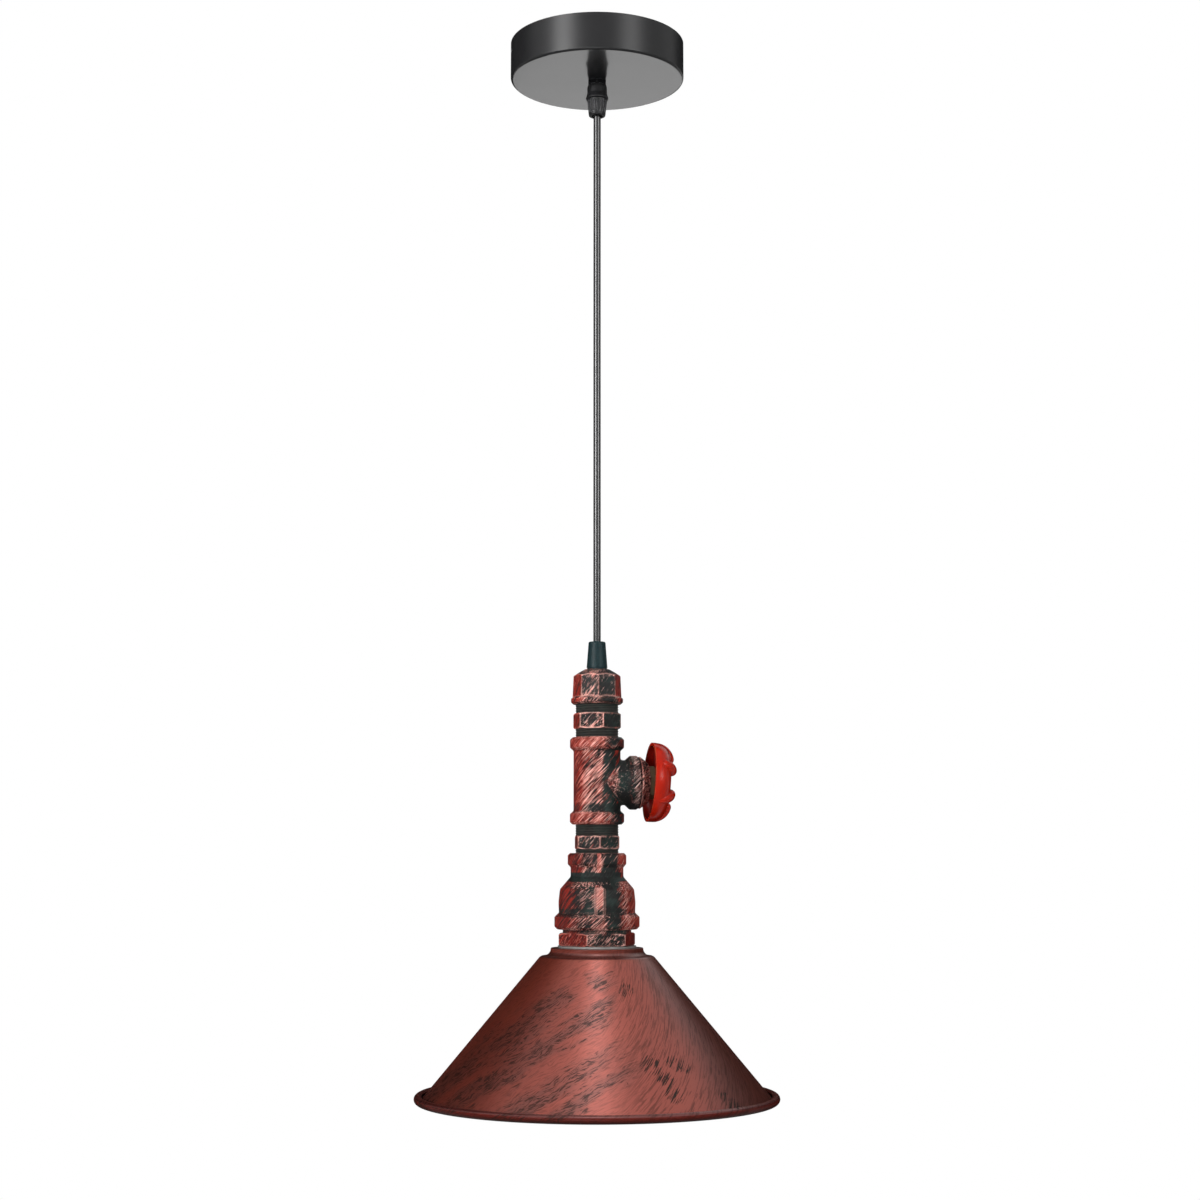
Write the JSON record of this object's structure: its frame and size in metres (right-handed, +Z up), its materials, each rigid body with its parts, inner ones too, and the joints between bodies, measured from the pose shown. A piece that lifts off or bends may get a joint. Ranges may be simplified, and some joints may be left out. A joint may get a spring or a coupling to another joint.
{
  "type": "pipe pendant lamp",
  "caption": "Hanging lamp of iron pipe fittings with a ceiling rose, flex, a tee with a turning valve wheel, and a cone shade round a screw lampholder.",
  "frame": {"origin": "centre of the ceiling face, on the axis of the flex", "axes": "+Z up into the ceiling, +X along the tee's branch towards the valve wheel"},
  "size_m": [0.2602, 0.2602, 0.7809],
  "materials": {
    "strap_steel": "zinc plated",
    "rose_paint": "satin black paint",
    "screw_steel": "zinc plated",
    "block_plastic": "moulded white nylon",
    "brass": "plain brass",
    "grip_plastic": "black nylon",
    "flex_sheath": "smooth black sheath",
    "core_brown": "brown insulation",
    "core_blue": "blue insulation",
    "core_earth": "green and yellow insulation",
    "fitting_iron": "black paint dry-brushed with red",
    "holder_plastic": "black moulding",
    "ceramic": "unglazed white ceramic",
    "shade_paint": "red-brown paint brushed with dark streaks",
    "washer_steel": "plain steel",
    "packing": "white packing ring",
    "wheel_paint": "gloss red paint"
  },
  "bodies": {
    "rose": {"ceiling_bracket": "strap_steel", "rose_cup": "rose_paint", "rose_grub_screws": "screw_steel", "terminal_block": "block_plastic", "terminal_tubes": "brass", "terminal_screws": "brass", "terminal_block_screws": "screw_steel", "rose_earth_screw": "screw_steel", "rose_earth_tag": "brass", "rose_nipple": "screw_steel", "rose_lockwasher": "screw_steel", "rose_locknut": "screw_steel", "rose_hex_nut": "screw_steel", "upper_grip_body": "grip_plastic", "upper_grip_collar": "grip_plastic", "flex_rose_tail": "flex_sheath", "rose_live_core": "core_brown", "rose_neutral_core": "core_blue", "rose_earth_core": "core_earth"},
    "flex_bend": {"flex_neck": "flex_sheath"},
    "flex_run": {"flex": "flex_sheath"},
    "lamp": {"lower_grip_collar": "grip_plastic", "lower_grip_body": "grip_plastic", "lower_grip_locknut": "screw_steel", "top_cap": "fitting_iron", "upper_nipple": "fitting_iron", "tee": "fitting_iron", "lower_nipple": "fitting_iron", "reducer": "fitting_iron", "hex_bush": "fitting_iron", "lampholder_nipple": "screw_steel", "lampholder_locknut": "screw_steel", "lamp_earth_tag": "brass", "lampholder_cap": "holder_plastic", "lampholder_skirt": "holder_plastic", "lampholder_insulator": "ceramic", "screw_shell": "brass", "centre_contact": "brass", "lampholder_terminals": "brass", "shade_washer": "washer_steel", "shade": "shade_paint", "shade_ring": "holder_plastic", "flex_lamp_tail": "flex_sheath", "lamp_live_core": "core_brown", "lamp_neutral_core": "core_blue", "lamp_earth_core": "core_earth", "valve_bonnet": "fitting_iron", "gland_packing": "packing", "gland_nut": "brass"},
    "wheel": {"spindle": "screw_steel", "handwheel": "wheel_paint", "wheel_washer": "screw_steel", "wheel_nut": "screw_steel"}
  },
  "joints": [
    {"name": "swing_side", "type": "hinge", "parent": "rose", "child": "flex_bend", "pos_m": [0, 0, -0.0556], "axis": [0, 1, 0], "range_deg": [-30, 30]},
    {"name": "swing_front", "type": "hinge", "parent": "flex_bend", "child": "flex_run", "pos_m": [0, 0, -0.0556], "axis": [1, 0, 0], "range_deg": [-30, 30]},
    {"name": "lamp_twist", "type": "hinge", "parent": "flex_run", "child": "lamp", "pos_m": [0, 0, -0.456], "axis": [0, 0, 1], "range_deg": [-90, 90], "stiffness_Nm_per_rad": 0.004},
    {"name": "wheel_turn", "type": "hinge", "parent": "lamp", "child": "wheel", "pos_m": [0.04, 0, -0.5544], "axis": [1, 0, 0], "continuous": true}
  ]
}
